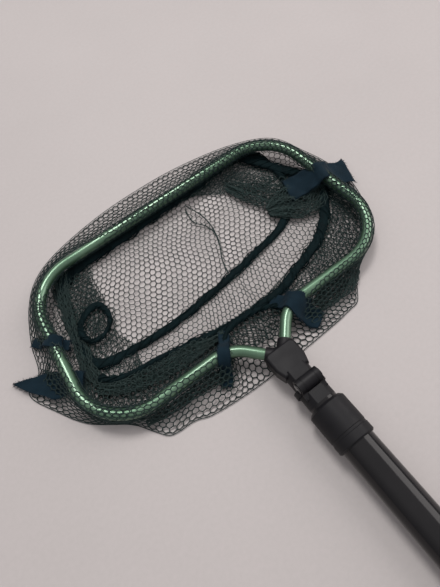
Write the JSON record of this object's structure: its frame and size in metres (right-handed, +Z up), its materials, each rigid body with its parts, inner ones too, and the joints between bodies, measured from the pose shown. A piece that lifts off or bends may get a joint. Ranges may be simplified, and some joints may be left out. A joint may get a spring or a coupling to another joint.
{
  "type": "landing net",
  "caption": "Landing net with a rounded rectangular tube hoop, hexagonal mesh bag lying collapsed, folding yoke and a telescopic round handle with a twist collar.",
  "frame": {"origin": "centre of the flat butt face of the handle, on the handle's axis", "axes": "+Y along the handle towards the hoop, +X across the hoop, +Z up, away from the table the net lies on"},
  "size_m": [0.3275, 0.622, 0.0297],
  "materials": {
    "hoop_green": "green anodised tube, satin",
    "black_plastic": "black moulded plastic, fine grain",
    "button_plastic": "black, smooth",
    "black_tube": "gloss black coating on aluminium tube",
    "steel": "zinc plated",
    "pale_nylon": "natural nylon",
    "grip_foam": "closed-cell foam sleeve",
    "cap_rubber": "moulded rubber",
    "netting": "knotless hexagonal netting, dark green",
    "seam_cord": "bunched netting seam, very dark green",
    "binding_tape": "woven binding tape, dark blue green"
  },
  "bodies": {
    "handle": {"outer_tube": "black_tube", "stop_ring": "pale_nylon", "lock_bush": "pale_nylon", "lock_collet": "pale_nylon", "grip": "grip_foam", "end_cap": "cap_rubber"},
    "collar": {"lock_collar": "black_plastic"},
    "inner": {"inner_tube": "black_tube", "tail_bush": "pale_nylon", "hinge_base": "black_plastic", "base_pin": "steel", "hinge_sleeve": "steel", "hinge_cap": "button_plastic", "hinge_spring": "steel", "hinge_washers": "black_plastic"},
    "button": {"hinge_button": "button_plastic"},
    "head": {"hoop_tube": "hoop_green", "yoke_top": "black_plastic", "yoke_bottom": "black_plastic", "yoke_screws": "steel", "net_wall": "netting", "net_base": "netting", "net_hem": "netting", "seam_inner": "seam_cord", "seam_outer": "seam_cord", "tape_yoke_left": "binding_tape", "tape_yoke_right": "binding_tape", "tape_side_left": "binding_tape", "tape_corner_left": "binding_tape", "tape_side_right": "binding_tape"}
  },
  "joints": [
    {"name": "telescope", "type": "slide", "parent": "handle", "child": "inner", "axis": [0, 1, 0], "range_m": [0, 0.22]},
    {"name": "collar_twist", "type": "hinge", "parent": "handle", "child": "collar", "pos_m": [0, 0.346, 0], "axis": [0, 1, 0], "range_deg": [0, 120]},
    {"name": "hoop_fold", "type": "hinge", "parent": "inner", "child": "head", "pos_m": [0, 0.38, 0.0096], "axis": [1, 0, 0], "range_deg": [0, 165]},
    {"name": "button_press", "type": "slide", "parent": "inner", "child": "button", "axis": [-1, 0, 0], "range_m": [0, 0.002], "stiffness_N_per_m": 400, "springref_m": -0.001, "deforming": ["hinge_spring"]}
  ]
}
